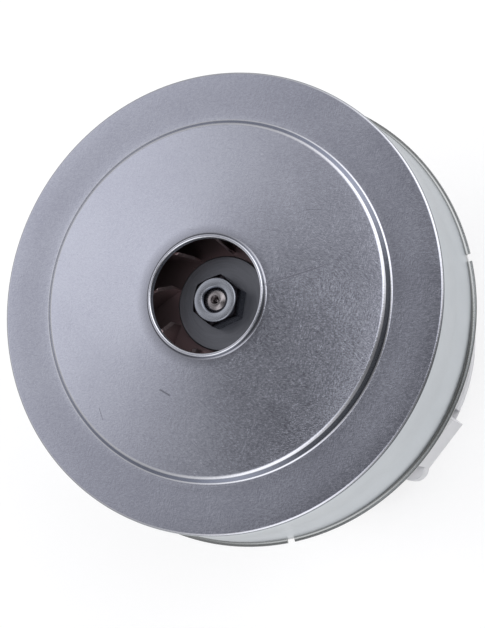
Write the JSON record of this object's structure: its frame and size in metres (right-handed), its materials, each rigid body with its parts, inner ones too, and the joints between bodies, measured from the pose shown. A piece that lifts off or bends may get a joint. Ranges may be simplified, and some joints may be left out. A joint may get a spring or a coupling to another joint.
{
  "type": "vacuum cleaner suction motor",
  "caption": "Through-flow suction motor with a zinc-plated fan cover, riveted impeller, open frame, wound stator and sprung carbon brushes.",
  "frame": {"origin": "centre of the rear bearing boss's end face, which the motor stands on", "axes": "+Z along the shaft from the rear bearing to the air inlet, +X along the carbon brushes, +Y along the field poles"},
  "size_m": [0.135, 0.135, 0.1191],
  "materials": {
    "zinc_steel": "bright zinc-plated sheet, fine random handling scratches",
    "white_plastic": "moulded thermoset plastic, slight sheen",
    "black_plastic": "glass-filled moulded plastic",
    "core_steel": "stacked electrical sheet with a thin varnish",
    "copper_winding": "enamelled copper wire, varnished",
    "former_plastic": "natural nylon",
    "insulation_board": "pressed insulation board",
    "brown_resin": "moulded phenolic resin",
    "bare_copper": "turned copper, brush track darker",
    "bearing_steel": "ground bearing steel",
    "shield_steel": "pressed steel shield",
    "cage_plastic": "moulded polyamide cage",
    "black_rubber": "moulded rubber",
    "plated_steel": "zinc-plated steel",
    "nut_steel": "zinc-plated hexagon nut, bluish",
    "dark_washer": "dark phosphated steel",
    "shaft_steel": "ground steel shaft",
    "fan_aluminium": "rolled aluminium sheet, riveted",
    "plated_screw": "zinc-plated cross-recess screw",
    "brass": "stamped brass",
    "tinned_brass": "tinned brass tab",
    "lead_insulation": "silicone-insulated lead",
    "spring_steel": "spring wire",
    "graphite": "pressed graphite block, faint metallic sheen"
  },
  "bodies": {
    "housing": {"fan_cover": "zinc_steel", "diffuser": "black_plastic", "diffuser_screws": "plated_screw", "motor_frame": "white_plastic", "stator_core": "core_steel", "stator_screws": "plated_screw", "coil_former_a": "former_plastic", "coil_former_b": "former_plastic", "field_coil_a": "copper_winding", "field_coil_b": "copper_winding", "front_bearing_outer": "bearing_steel", "front_bearing_shields": "shield_steel", "bearing_retainer": "plated_steel", "retainer_screws": "plated_screw", "rear_bracket": "white_plastic", "bracket_screws": "plated_screw", "rear_bearing_outer": "bearing_steel", "rear_bearing_shields": "shield_steel", "rear_bearing_sleeve": "black_rubber", "brush_holder_a": "white_plastic", "brush_holder_b": "white_plastic", "brush_guide_a": "brass", "brush_guide_b": "brass", "brush_terminal_a": "brass", "brush_terminal_b": "brass", "holder_screws": "plated_screw", "supply_terminals": "tinned_brass", "coil_leads": "lead_insulation", "brush_spring_a": "spring_steel", "brush_spring_b": "spring_steel"},
    "rotor": {"shaft": "shaft_steel", "shaft_nut": "nut_steel", "front_washer": "dark_washer", "rear_washer": "plated_steel", "bearing_spacer": "plated_steel", "impeller_back_plate": "fan_aluminium", "impeller_blades": "fan_aluminium", "impeller_shroud": "fan_aluminium", "rotor_core": "core_steel", "rotor_end_discs": "insulation_board", "rotor_slot_wires": "copper_winding", "winding_head_front": "copper_winding", "winding_head_rear": "copper_winding", "commutator_bars": "bare_copper", "commutator_core": "brown_resin", "front_bearing_inner": "bearing_steel", "rear_bearing_inner": "bearing_steel"},
    "front_ball_set": {"front_bearing_balls": "bearing_steel", "front_bearing_cage": "cage_plastic"},
    "rear_ball_set": {"rear_bearing_balls": "bearing_steel", "rear_bearing_cage": "cage_plastic"},
    "brush_a": {"carbon_brush_a": "graphite"},
    "brush_b": {"carbon_brush_b": "graphite"}
  },
  "joints": [
    {"name": "rotor_spin", "type": "hinge", "parent": "housing", "child": "rotor", "pos_m": [0, 0, 0], "axis": [0, 0, 1], "continuous": true},
    {"name": "front_balls_orbit", "type": "hinge", "parent": "housing", "child": "front_ball_set", "pos_m": [0, 0, 0.0887], "axis": [0, 0, 1], "continuous": true},
    {"name": "rear_balls_orbit", "type": "hinge", "parent": "housing", "child": "rear_ball_set", "pos_m": [0, 0, 0.0066], "axis": [0, 0, 1], "continuous": true},
    {"name": "brush_a_slide", "type": "slide", "parent": "housing", "child": "brush_a", "axis": [1, 0, 0], "range_m": [0, 0.006], "stiffness_N_per_m": 250, "springref_m": -0.014, "deforming": ["brush_spring_a"]},
    {"name": "brush_b_slide", "type": "slide", "parent": "housing", "child": "brush_b", "axis": [-1, 0, 0], "range_m": [0, 0.006], "stiffness_N_per_m": 250, "springref_m": -0.014, "deforming": ["brush_spring_b"]}
  ],
  "couplings": [
    {"joint": "front_balls_orbit", "follows": "rotor_spin", "ratio": 0.37},
    {"joint": "rear_balls_orbit", "follows": "rotor_spin", "ratio": 0.3692}
  ]
}
